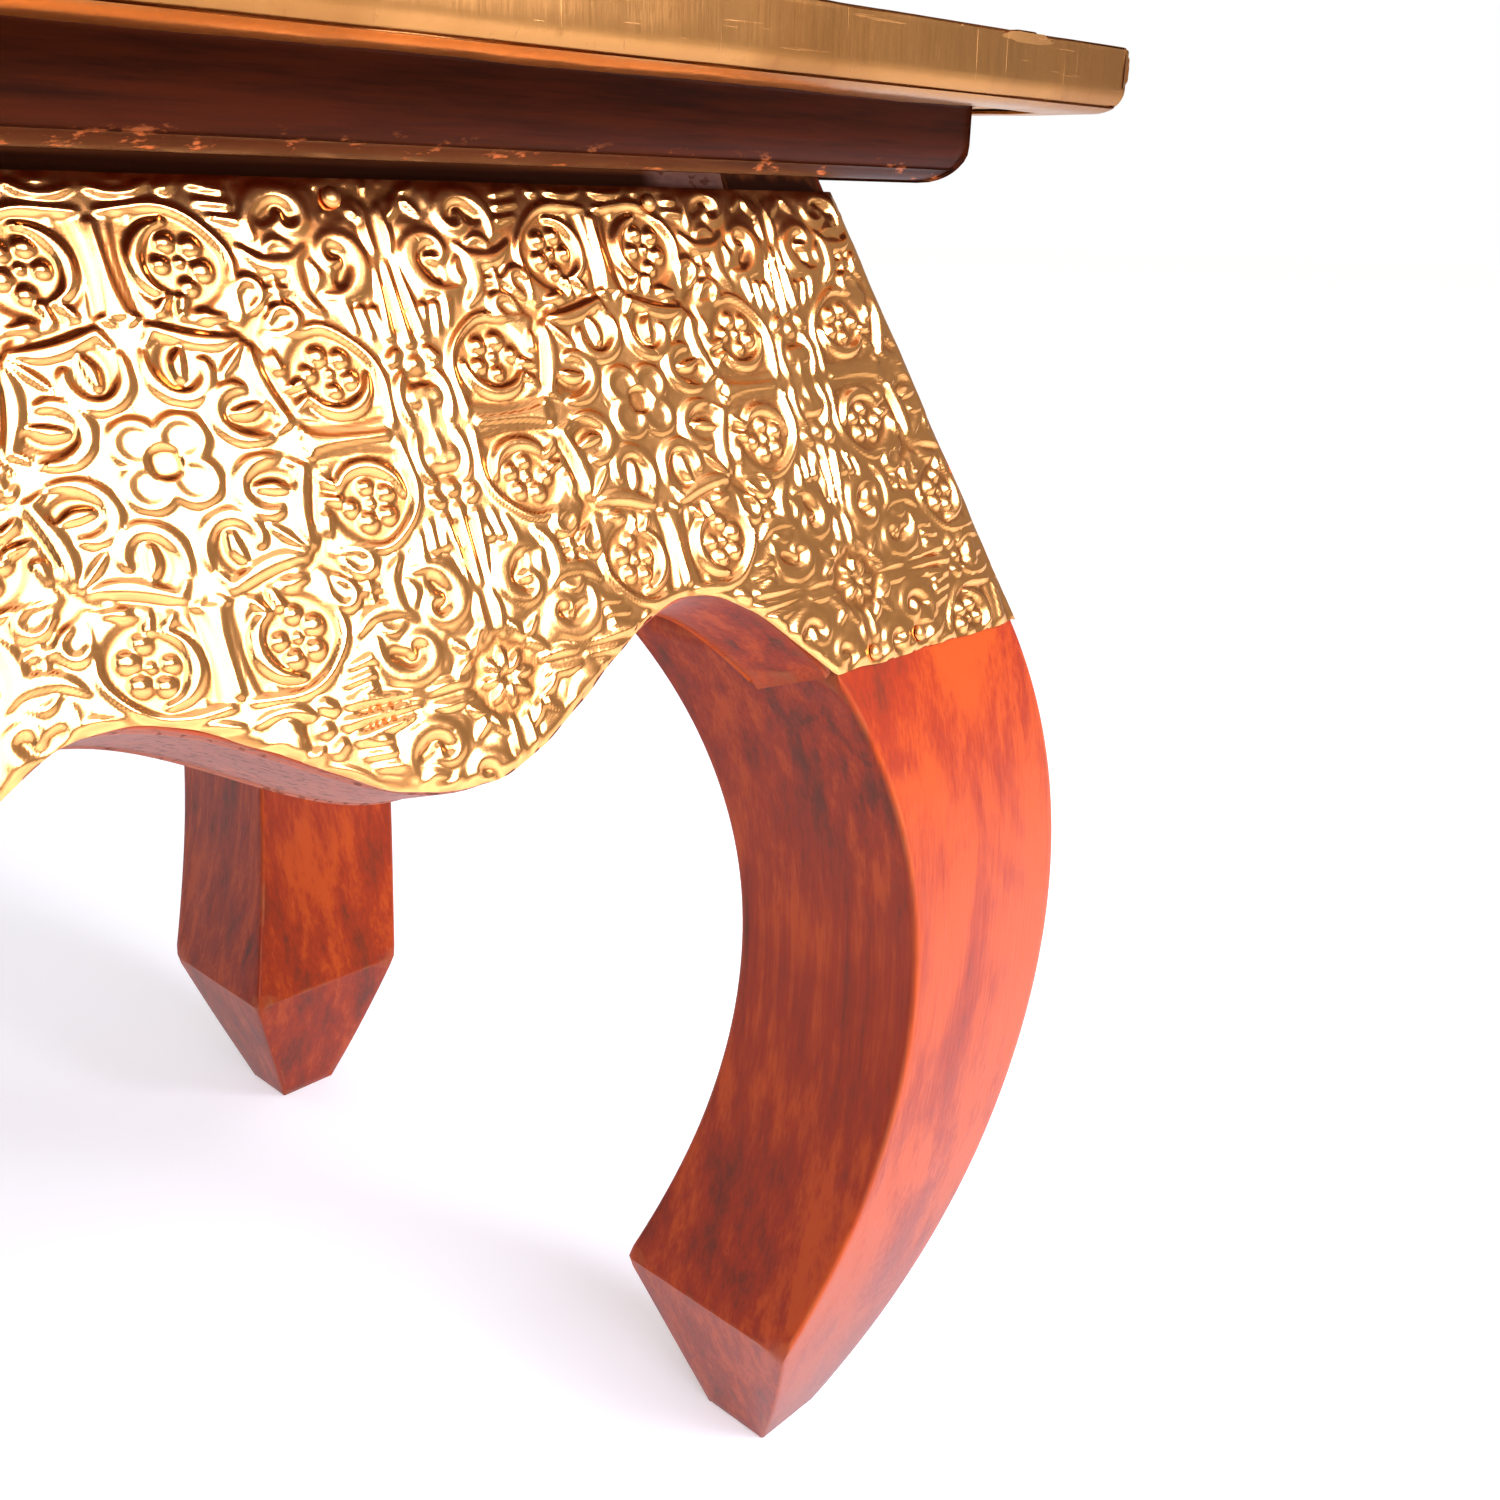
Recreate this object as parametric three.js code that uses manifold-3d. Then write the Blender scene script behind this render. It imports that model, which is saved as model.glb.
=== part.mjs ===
// Low square side table, clad in brass: a wooden board in a folded brass skin, on a mitred and
// moulded frame, over four curved corner legs and four leaning, arched aprons faced with brass
// sheet. Millimetres, +Z up, the origin at the centre of the four feet on the floor.
import * as THREE from 'three';
import { mergeVertices } from 'three/addons/utils/BufferGeometryUtils.js';
import Module from 'manifold-3d';

const wasm = await Module();
wasm.setup();

// Whole table
const tableHeight = 312;
const clearance = 0.3;               // between pieces whose touching faces lean or are cut
const sideNames = ['front', 'right', 'back', 'left'];
const cornerNames = ['front_right', 'back_right', 'back_left', 'front_left'];

// Top: brass skin folded round a board
const topHalf = 148;
const skinThickness = 0.6;
const skinBottom = 300.3;
const lipReach = 136;                // the skin's folded lip ends here
const skinUpperRadius = 1;
const skinLowerRadius = 4.2;

// Moulded frame under the board
const frameHalf = 127.8;
const frameInner = 70;
const frameBottom = 288;
const mouldingRadius = 6.2;

// Leaning aprons, and the straight upper part of the legs in line with them
const faceTop = 108.1;               // half width across the faces, where they meet the frame
const lean = THREE.MathUtils.degToRad(20.04);
const apronThickness = 20;
const legInner = 81.5;               // inner faces of the legs, above the arch
const archMiddle = 202.8;            // height of the apron's lower edge at its middle
const archCrownX = 53;
const archCrown = 221.4;
const archEnd = 202.5;               // where the arch runs into the leg

// Curved lower part of the legs
const kneeX = 138.9;                 // the straight face ends here and the curve begins
const kneeHeight = 203.6;
const soleOuter = 115.5;
const soleInner = 97.2;
const heelInner = 82.6;
const heelHeight = 44.1;

// Tenons of the aprons
const tenonLength = 14;
const tenonThickness = 8;
const tenonUpper = 12;               // distances down the face
const tenonLower = 78;

// Brass sheet on each leaning face
const sheetThickness = 0.5;
const sheetUpper = 3;

// Round brass pins through the sheets
const pinHeadRadius = 1.5;
const pinHeadHeight = 0.9;
const pinShankRadius = 0.5;
const pinLength = 9;
const pinLift = 0.1;                 // from the sheet to the head
const upperPins = { x: [-61, 0, 61], down: 5.7 };
const lowerPins = [{ x: 107, down: 87.5 }, { x: 93, down: 88.6 }];

// Battens inside the aprons, and the screws up through them
const battenHalf = 60;
const battenInner = 71;
const battenHeight = 16;
const screwX = 40;
const screwY = 78;
const screwRadius = 1.8;
const screwHeadRadius = 3.8;
const screwHeadHeight = 2;
const screwLength = 35;

const boardTop = tableHeight - skinThickness - clearance;
const boardBottom = skinBottom + skinThickness + clearance;
const sheetOut = clearance + sheetThickness;
const pinSeat = sheetOut + pinLift;
const battenBottom = frameBottom - battenHeight;

const brass = () => new THREE.MeshStandardMaterial({ color: 0xd0953f, roughness: 0.25, metalness: 1 });
const stained = () => new THREE.MeshStandardMaterial({ color: 0xb8421c, roughness: 0.35, metalness: 0 });
const dark = () => new THREE.MeshStandardMaterial({ color: 0x3c1106, roughness: 0.35, metalness: 0 });
const plain = () => new THREE.MeshStandardMaterial({ color: 0xb98a5e, roughness: 0.7, metalness: 0 });
const steel = () => new THREE.MeshStandardMaterial({ color: 0x9a9a98, roughness: 0.4, metalness: 1 });

function solid(geometry) {
  const bare = geometry.clone();
  bare.deleteAttribute('normal');
  bare.deleteAttribute('uv');
  const welded = mergeVertices(bare, 1e-4);
  return new wasm.Manifold(new wasm.Mesh({
    numProp: 3,
    vertProperties: new Float32Array(welded.attributes.position.array),
    triVerts: new Uint32Array(welded.index.array),
  }));
}

function surface(manifold) {
  const mesh = manifold.getMesh();
  const geometry = new THREE.BufferGeometry();
  geometry.setAttribute('position', new THREE.BufferAttribute(mesh.vertProperties, 3));
  geometry.setIndex(new THREE.BufferAttribute(mesh.triVerts, 1));
  return geometry;
}

function extruded(shape, from, to, curveSegments = 8) {
  const settings = { depth: to - from, bevelEnabled: false, curveSegments };
  return new THREE.ExtrudeGeometry(shape, settings).translate(0, 0, from);
}

function polygon(points) {
  return new THREE.Shape(points.map(([x, y]) => new THREE.Vector2(x, y)));
}

function block(x, y, z) {
  const geometry = new THREE.BoxGeometry(x[1] - x[0], y[1] - y[0], z[1] - z[0]);
  return geometry.translate((x[0] + x[1]) / 2, (y[0] + y[1]) / 2, (z[0] + z[1]) / 2);
}

// An elevation (x across, y up) seen from the front and, turned, from the side: what both hold.
function crossed(elevation, curveSegments) {
  const upright = extruded(elevation, -200, 200, curveSegments).rotateX(Math.PI / 2);
  const turned = upright.clone().rotateZ(-Math.PI / 2);
  return solid(upright).intersect(solid(turned));
}

// The quarter of the table that belongs to the front side, kept clear of the diagonals.
function frontQuarter() {
  const reach = 200;
  const apex = -clearance * Math.SQRT1_2;
  return solid(extruded(polygon([[0, apex], [-reach, apex - reach], [reach, apex - reach]]), 0, 400));
}

// Face coordinates: x along the side, y up the leaning face from its top edge, z out of it.
function ontoFace(geometry) {
  return geometry.rotateX(Math.PI / 2 - lean).translate(0, -faceTop, frameBottom);
}

const downFace = (height) => (height - frameBottom) / Math.cos(lean);

function slabElevation(half, bottom, top, lowerRadius, upperRadius) {
  const shape = new THREE.Shape();
  shape.moveTo(-half + lowerRadius, bottom);
  shape.lineTo(half - lowerRadius, bottom);
  shape.absarc(half - lowerRadius, bottom + lowerRadius, lowerRadius, -Math.PI / 2, 0);
  shape.absarc(half - upperRadius, top - upperRadius, upperRadius, 0, Math.PI / 2);
  shape.absarc(-half + upperRadius, top - upperRadius, upperRadius, Math.PI / 2, Math.PI);
  shape.absarc(-half + lowerRadius, bottom + lowerRadius, lowerRadius, Math.PI, 1.5 * Math.PI);
  return shape;
}

function slab(inset, bottom, top) {
  const half = topHalf - inset;
  const elevation = slabElevation(half, bottom, top, skinLowerRadius - inset, skinUpperRadius - inset);
  return crossed(elevation, 3);
}

function topSkin() {
  const mouth = block([-lipReach, lipReach], [-lipReach, lipReach], [skinBottom - 1, skinBottom + 1]);
  const hollow = slab(skinThickness, skinBottom + skinThickness, tableHeight - skinThickness);
  return slab(0, skinBottom, tableHeight).subtract(hollow).subtract(solid(mouth));
}

function screwHole(x, y) {
  const radius = screwRadius + clearance;
  const length = screwLength + 2 * clearance;
  const hole = new THREE.CylinderGeometry(radius, radius, length, 10).rotateX(Math.PI / 2);
  return solid(hole.translate(x, y, battenBottom + screwLength / 2));
}

function topBoard() {
  let board = slab(skinThickness + clearance, boardBottom, boardTop);
  for (let side = 0; side < sideNames.length; side += 1) {
    for (const x of [-screwX, screwX]) {
      board = board.subtract(screwHole(x, -screwY).rotate([0, 0, 90 * side]));
    }
  }
  return board;
}

function frameRail() {
  const section = new THREE.Shape();
  section.moveTo(-frameInner, boardBottom);
  section.lineTo(-frameHalf, boardBottom);
  section.lineTo(-frameHalf, frameBottom + mouldingRadius);
  section.absarc(-frameHalf + mouldingRadius, frameBottom + mouldingRadius, mouldingRadius,
    Math.PI, 1.5 * Math.PI);
  section.lineTo(-frameInner, frameBottom);
  const bar = extruded(section, -frameHalf, frameHalf).rotateX(Math.PI / 2).rotateZ(Math.PI / 2);
  return solid(bar).intersect(frontQuarter())
    .subtract(screwHole(-screwX, -screwY))
    .subtract(screwHole(screwX, -screwY));
}

function legElevation() {
  const shape = new THREE.Shape();
  shape.moveTo(legInner, frameBottom);
  shape.lineTo(legInner, archEnd);
  shape.bezierCurveTo(109.3, 155.6, 104.2, 98.2, heelInner, heelHeight);
  shape.lineTo(soleInner, 0);
  shape.lineTo(soleOuter, 0);
  shape.bezierCurveTo(144.8, 58.5, 160.3, 145.1, kneeX, kneeHeight);
  shape.lineTo(faceTop, frameBottom);
  return shape;
}

function tenon(x, growth) {
  const middle = -apronThickness / 2;
  const half = tenonThickness / 2 + growth;
  return solid(ontoFace(block([x[0], x[1]], [-tenonLower - growth, -tenonUpper + growth],
    [middle - half, middle + half])));
}

function pinHole(x, down) {
  const radius = pinShankRadius + clearance;
  const length = pinLength + 2 * clearance;
  const hole = new THREE.CylinderGeometry(radius, radius, length, 8).rotateX(Math.PI / 2);
  return solid(ontoFace(hole.translate(x, -down, pinSeat + clearance - length / 2)));
}

function leg() {
  const mortise = tenon([legInner - 10, legInner + tenonLength + clearance], clearance);
  let post = crossed(legElevation(), 12)
    .subtract(mortise)
    .subtract(mortise.mirror([1, 1, 0]));
  for (const { x, down } of lowerPins) {
    const hole = pinHole(x, down);
    post = post.subtract(hole).subtract(hole.mirror([1, 1, 0]));
  }
  return post;
}

// Lower edge of an apron from its middle to its right end, in face coordinates.
function addArch(shape, endX) {
  const crown = downFace(archCrown);
  shape.bezierCurveTo(25, downFace(archMiddle), 28, crown, archCrownX, crown);
  shape.bezierCurveTo(63, crown, 75, downFace(209), endX, downFace(archEnd));
}

function addMirroredArch(shape, endX) {
  const crown = downFace(archCrown);
  shape.lineTo(-endX, downFace(archEnd));
  shape.bezierCurveTo(-75, downFace(209), -63, crown, -archCrownX, crown);
  shape.bezierCurveTo(-28, crown, -25, downFace(archMiddle), 0, downFace(archMiddle));
}

function apron() {
  const end = legInner - clearance;
  const above = 10;
  const outline = new THREE.Shape();
  outline.moveTo(0, downFace(archMiddle));
  addArch(outline, end);
  outline.lineTo(end, above);
  outline.lineTo(-end, above);
  addMirroredArch(outline, end);
  const belowFrame = block([-200, 200], [-200, 0], [100, frameBottom]);
  const tenonRoot = legInner - 10;
  const tenonEnd = legInner + tenonLength;
  let board = solid(ontoFace(extruded(outline, -apronThickness, 0)))
    .intersect(solid(belowFrame))
    .add(tenon([-tenonEnd, -tenonRoot], 0))
    .add(tenon([tenonRoot, tenonEnd], 0));
  for (const x of upperPins.x) {
    board = board.subtract(pinHole(x, upperPins.down));
  }
  return board;
}

function brassSheet() {
  const beyond = 160;
  const foot = downFace(archEnd);
  const outline = new THREE.Shape();
  outline.moveTo(0, downFace(archMiddle));
  addArch(outline, legInner);
  outline.lineTo(beyond, foot);
  outline.lineTo(beyond, -sheetUpper);
  outline.lineTo(-beyond, -sheetUpper);
  outline.lineTo(-beyond, foot);
  addMirroredArch(outline, legInner);
  let sheet = solid(ontoFace(extruded(outline, clearance, sheetOut))).intersect(frontQuarter());
  for (const { x, down } of pinPlaces()) {
    sheet = sheet.subtract(pinHole(x, down));
  }
  return sheet;
}

function pinPlaces() {
  const upper = upperPins.x.map((x) => ({ x, down: upperPins.down }));
  const right = lowerPins.map(({ x, down }) => ({ x, down }));
  const left = lowerPins.map(({ x, down }) => ({ x: -x, down }));
  return [...upper, ...right, ...left];
}

// A headed fastener along z: its tip at -length, its domed head from z = 0 up.
function headed(shankRadius, length, headRadius, headHeight, sides) {
  const profile = [[0, -length], [shankRadius, -length + shankRadius], [shankRadius, 0], [headRadius, 0]];
  for (const angle of [0.4, 1]) {
    profile.push([headRadius * Math.cos(angle), headHeight * Math.sin(angle)]);
  }
  profile.push([0, headHeight]);
  const points = profile.map(([r, y]) => new THREE.Vector2(r, y));
  return new THREE.LatheGeometry(points, sides).rotateX(Math.PI / 2);
}

function pin(x, down) {
  const upright = headed(pinShankRadius, pinLength, pinHeadRadius, pinHeadHeight, 8);
  return ontoFace(upright.translate(x, -down, pinSeat));
}

function screw(x) {
  const upright = headed(screwRadius, screwLength, screwHeadRadius, screwHeadHeight, 10);
  return upright.rotateX(Math.PI).translate(x, -screwY, battenBottom);
}

function batten() {
  const slope = Math.tan(lean);
  const inside = apronThickness / Math.cos(lean) + clearance / Math.cos(lean);
  const section = polygon([
    [-battenInner, frameBottom],
    [-faceTop + inside, frameBottom],
    [-faceTop + inside - battenHeight * slope, battenBottom],
    [-battenInner, battenBottom],
  ]);
  const bar = extruded(section, -battenHalf, battenHalf).rotateX(Math.PI / 2).rotateZ(Math.PI / 2);
  return solid(bar).subtract(screwHole(-screwX, -screwY)).subtract(screwHole(screwX, -screwY));
}

const table = new THREE.Group();

function place(name, geometry, material, quarterTurns = 0) {
  const mesh = new THREE.Mesh(geometry, material);
  mesh.name = name;
  mesh.rotation.z = quarterTurns * Math.PI / 2;
  table.add(mesh);
}

place('top_brass_skin', surface(topSkin()), brass());
place('top_board', surface(topBoard()), plain());

const railSurface = surface(frameRail());
const legSurface = surface(leg());
const apronSurface = surface(apron());
const sheetSurface = surface(brassSheet());
const battenSurface = surface(batten());

sideNames.forEach((side, turns) => {
  place(`frame_rail_${side}`, railSurface, dark(), turns);
  place(`leg_${cornerNames[turns]}`, legSurface, stained(), turns);
  place(`apron_${side}`, apronSurface, stained(), turns);
  place(`brass_sheet_${side}`, sheetSurface, brass(), turns);
  place(`batten_${side}`, battenSurface, plain(), turns);
  place(`screw_${side}_1`, screw(-screwX), steel(), turns);
  place(`screw_${side}_2`, screw(screwX), steel(), turns);
  pinPlaces().forEach(({ x, down }, index) => {
    place(`pin_${side}_${index + 1}`, pin(x, down), brass(), turns);
  });
});

export default table;
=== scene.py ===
"""The looks of a low square side table clad in brass: folded brass top, dark moulded frame, stained
curved legs, and leaning aprons faced with brass sheet embossed in high relief. All sizes are metres."""
import math

import bmesh
import bpy
import numpy as np
from mathutils import Matrix, Vector, noise


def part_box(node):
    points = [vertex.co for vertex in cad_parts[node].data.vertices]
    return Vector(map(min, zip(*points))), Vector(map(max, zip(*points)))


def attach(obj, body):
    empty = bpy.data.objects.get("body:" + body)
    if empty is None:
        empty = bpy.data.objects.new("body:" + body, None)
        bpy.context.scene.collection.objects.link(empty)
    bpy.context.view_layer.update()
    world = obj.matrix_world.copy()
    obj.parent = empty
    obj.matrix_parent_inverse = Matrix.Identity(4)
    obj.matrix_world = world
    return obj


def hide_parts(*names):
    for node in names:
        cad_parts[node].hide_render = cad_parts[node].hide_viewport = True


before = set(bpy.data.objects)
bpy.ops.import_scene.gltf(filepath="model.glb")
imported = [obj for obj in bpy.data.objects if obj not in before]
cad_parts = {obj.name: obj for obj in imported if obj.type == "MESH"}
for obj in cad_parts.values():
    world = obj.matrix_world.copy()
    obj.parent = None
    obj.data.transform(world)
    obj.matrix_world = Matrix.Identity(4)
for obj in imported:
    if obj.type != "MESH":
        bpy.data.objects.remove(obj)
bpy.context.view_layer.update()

bl_info = {
    "name": "Brass-clad side table",
    "version": (1, 0, 0),
    "blender": (4, 5, 0),
    "location": "3D View > Sidebar > Table",
    "description": "Builds a low side table with an embossed brass apron on curved wooden legs",
    "category": "Add Mesh",
}

MM = 0.001
SIDES = ("front", "right", "back", "left")
CORNERS = ("front_right", "back_right", "back_left", "front_left")

# Places taken from the frame
TOP_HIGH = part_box("top_brass_skin")[1][2]
TOP_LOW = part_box("top_brass_skin")[0][2]
TOP_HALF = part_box("top_brass_skin")[1][0]
RAIL_LOW, RAIL_HIGH = (corner[2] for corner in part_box("frame_rail_front"))
RAIL_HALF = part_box("frame_rail_front")[1][0]
RAIL_INNER = -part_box("frame_rail_front")[1][1]
SHEET_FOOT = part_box("brass_sheet_front")[0][2]

# Shape of the sides, as the frame's solids have it: the lean of the faces, and half widths and heights
LEAN = math.radians(20.04)
SIN, COS, TAN = math.sin(LEAN), math.cos(LEAN), math.tan(LEAN)
FACE_TOP = 108.1 * MM
LEG_INNER = 81.5 * MM
APRON_END = 81.2 * MM
APRON_THICK = 20 * MM
ARCH_MIDDLE, ARCH_CROWN, ARCH_END = 202.8 * MM, 221.4 * MM, 202.5 * MM
CROWN_X = 53 * MM
HEEL_HEIGHT = 44.1 * MM
SOLE_INNER = 97.2 * MM
# The leg's outer and inner sides are curves of four points, each (x, height) in mm
LEG_OUTER_CURVE = ((115.5, 0), (144.8, 58.5), (160.3, 145.1), (138.9, 203.6))
LEG_INNER_CURVE = ((82.6, 44.1), (104.2, 98.2), (109.3, 155.6), (81.5, 202.5))
# The sheet starts this far down the face, and its back and front stand this far out of it
SHEET_TOP = 3 * MM
SHEET_BACK = 0.35 * MM
SHEET_FRONT = 0.8 * MM
# Pins, each (along the side, down the face) in mm
PINS = ((-61, 5.7), (0, 5.7), (61, 5.7), (107, 87.5), (93, 88.6), (-107, 87.5), (-93, 88.6))


# ---------------------------------------------------------------- settings

class TableSizes(bpy.types.PropertyGroup):
    """Sizes that a user would change"""
    relief: bpy.props.FloatProperty(
        name="Relief", description="Height of the embossing on the brass sheets",
        default=0.47 * MM, unit="LENGTH")
    panel: bpy.props.FloatProperty(
        name="Panel", description="Width of one square panel of the embossed pattern",
        default=82 * MM, unit="LENGTH")
    grid: bpy.props.FloatProperty(
        name="Mesh spacing", description="Distance between the points of an embossed sheet",
        default=0.52 * MM, unit="LENGTH")
    edge: bpy.props.FloatProperty(
        name="Edge softening", description="Width of the worn rounding on the wooden edges",
        default=0.8 * MM, unit="LENGTH")
    dents: bpy.props.FloatProperty(
        name="Dents", description="Depth of the dents in the brass of the top",
        default=0.26 * MM, unit="LENGTH")


def colour(name, about, red, green, blue):
    return bpy.props.FloatVectorProperty(
        name=name, description=about, default=(red, green, blue), subtype="COLOR", min=0, max=1)


class TableColours(bpy.types.PropertyGroup):
    """Colours of the metals, stains and bare wood; the dark stain also serves as painted shade"""
    brass: colour("Brass", "Polished brass", 0.87, 0.40, 0.13)
    tarnish: colour("Tarnish", "Brass in the hollows of the embossing", 0.50, 0.19, 0.05)
    stain_light: colour("Thin stain", "Orange where the stain is thin", 0.39, 0.045, 0.004)
    stain: colour("Stain", "Orange-red stain on the legs", 0.25, 0.016, 0.003)
    # Also the colour of painted shade on the legs' inward faces and towards the floor
    stain_dark_and_shade: colour("Dark stain", "Streaks and shadows in the stain", 0.085, 0.012, 0.006)
    worn: colour("Worn wood", "Wood showing through at worn edges", 0.60, 0.16, 0.045)
    moulding: colour("Moulding", "Dark stain on the frame", 0.042, 0.006, 0.0015)
    deal: colour("Plain wood", "Unstained wood inside", 0.50, 0.31, 0.16)


def sizes():
    return bpy.context.scene.table_sizes


def colours():
    return bpy.context.scene.table_colours


# ---------------------------------------------------------------- shader expressions

class Value:
    """A shader socket that takes part in arithmetic: an expression adds its Math nodes."""

    def __init__(self, nodes, socket):
        self.nodes = nodes
        self.socket = socket

    def math(self, operation, first, second):
        return self.nodes.node("ShaderNodeMath", {"operation": operation}, {0: first, 1: second})

    def __add__(self, other):
        return self.math("ADD", self, other)

    def __radd__(self, other):
        return self.math("ADD", other, self)

    def __sub__(self, other):
        return self.math("SUBTRACT", self, other)

    def __rsub__(self, other):
        return self.math("SUBTRACT", other, self)

    def __mul__(self, other):
        return self.math("MULTIPLY", self, other)

    def __rmul__(self, other):
        return self.math("MULTIPLY", other, self)

    def largest(self, other):
        return self.math("MAXIMUM", self, other)

    def between(self, low, high):
        """0 below low, 1 above high, smooth on the way."""
        return self.nodes.node("ShaderNodeMapRange", {"interpolation_type": "SMOOTHSTEP"},
                               {"Value": self, "From Min": low, "From Max": high})


class Nodes:
    """A tree of nodes, for a material or for the surroundings."""

    def __init__(self, tree):
        self.tree = tree

    def feed(self, socket, value):
        if isinstance(value, Value):
            self.tree.links.new(value.socket, socket)
        else:
            socket.default_value = value

    def add(self, kind, settings=None, inputs=None):
        """Any node: its settings first, then the values or links of its sockets."""
        made = self.tree.nodes.new(kind)
        for name, value in (settings or {}).items():
            setattr(made, name, value)
        for name, value in (inputs or {}).items():
            self.feed(made.inputs[name], value)
        return made

    def node(self, kind, settings=None, inputs=None, output=0):
        return Value(self, self.add(kind, settings, inputs).outputs[output])

    def place(self, kind="Object"):
        return self.node("ShaderNodeTexCoord", output=kind)

    def mix(self, factor, first, second):
        """Blends two colours."""
        return self.node("ShaderNodeMix", {"data_type": "RGBA"},
                         {0: factor, 6: first, 7: second}, output=2)


class Finish(Nodes):
    """A material built from expressions. Constants go straight onto the shader's sockets."""

    def __init__(self, name, **constants):
        self.material = bpy.data.materials.new(name)
        self.material.use_nodes = True
        super().__init__(self.material.node_tree)
        self.tree.nodes.clear()
        self.shader = self.add("ShaderNodeBsdfPrincipled")
        self.add("ShaderNodeOutputMaterial", inputs={"Surface": Value(self, self.shader.outputs[0])})
        self.surface(**constants)

    def attribute(self, name, output="Fac"):
        return self.node("ShaderNodeAttribute", {"attribute_name": name}, output=output)

    def scaled(self, at, scale, turn=(0, 0, 0)):
        return self.node("ShaderNodeMapping", inputs={"Vector": at, "Scale": scale, "Rotation": turn})

    def noise(self, at, scale, detail=3.0, roughness=0.5, distortion=0.0):
        return self.node("ShaderNodeTexNoise", inputs={
            "Vector": at, "Scale": scale, "Detail": detail, "Roughness": roughness,
            "Distortion": distortion})

    def bump(self, height, distance):
        return self.node("ShaderNodeBump", inputs={"Height": height, "Distance": distance, "Strength": 1})

    def surface(self, **sockets):
        """Feeds the shader's sockets and hands back the finished material."""
        for socket, value in sockets.items():
            self.feed(self.shader.inputs[socket.replace("_", " ")], value)
        return self.material


def rgba(value):
    return (*value, 1.0)


def grey(level):
    return (level, level, level, 1.0)


def embossed_brass():
    """Bright on the relief, browner in its hollows, with fine pits."""
    finish = Finish("embossed_brass", Metallic=1.0)
    at = finish.place()
    relief = finish.attribute("relief")
    cloud = finish.noise(at, 60, 4)
    fine = finish.noise(at, 900, 3)
    speck = finish.noise(at, 380, 2)
    raised = (relief + (cloud - 0.5) * 0.5).between(-0.75, 0.15)
    metal = finish.mix(raised, rgba(colours().tarnish), rgba(colours().brass))
    clouded = finish.mix(cloud.between(0.56, 0.75) * 0.25, metal, rgba(colours().tarnish))
    rough = 0.26 - 0.09 * raised + (fine - 0.5) * 0.10 + cloud.between(0.45, 0.7) * 0.05
    pits = speck.between(0.70, 0.78)
    height = fine * 0.35 + speck * 0.5 - pits * 0.6
    return finish.surface(Base_Color=clouded, Roughness=rough, Normal=finish.bump(height, 0.04 * MM))


def polished_brass():
    """Aged plain sheet: dull clouds, brushing, hair scratches and small spots."""
    finish = Finish("polished_brass", Metallic=1.0)
    at = finish.place()
    cloud = finish.noise(at, 30, 4)
    brushed = finish.noise(finish.scaled(at, (700, 700, 60)), 1.0, 4, 0.65)
    upright = finish.noise(finish.scaled(at, (900, 900, 26)), 1.0, 3, 0.6)
    across = finish.noise(finish.scaled(at, (60, 60, 1500), (0.25, 0.2, 0.4)), 1.0, 2, 0.6)
    spots = finish.noise(at, 240, 3)
    hair = upright.between(0.64, 0.70).largest(across.between(0.68, 0.74))
    dull = cloud.between(0.38, 0.66)
    metal = finish.mix(dull, (0.46, 0.21, 0.062, 1), (0.33, 0.14, 0.037, 1))
    marked = finish.mix(spots.between(0.66, 0.78) * 0.5, metal, (0.28, 0.11, 0.03, 1))
    rough = 0.25 + dull * 0.06 + brushed * 0.10 + hair * 0.1
    height = brushed * 0.9 + spots * 0.6 - hair * 0.5 + cloud * 3.0
    return finish.surface(Base_Color=marked, Roughness=rough, Normal=finish.bump(height, 0.06 * MM))


def pin_brass():
    """Small heads, polished with the sheet round them."""
    finish = Finish("pin_brass", Metallic=1.0)
    at = finish.place()
    cloud = finish.noise(at, 500, 3)
    metal = finish.mix(cloud.between(0.4, 0.7) * 0.5, rgba(colours().brass), rgba(colours().tarnish))
    return finish.surface(Base_Color=metal, Roughness=0.24 + cloud * 0.12,
                          Normal=finish.bump(finish.noise(at, 1600, 2), 0.03 * MM))


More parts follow.
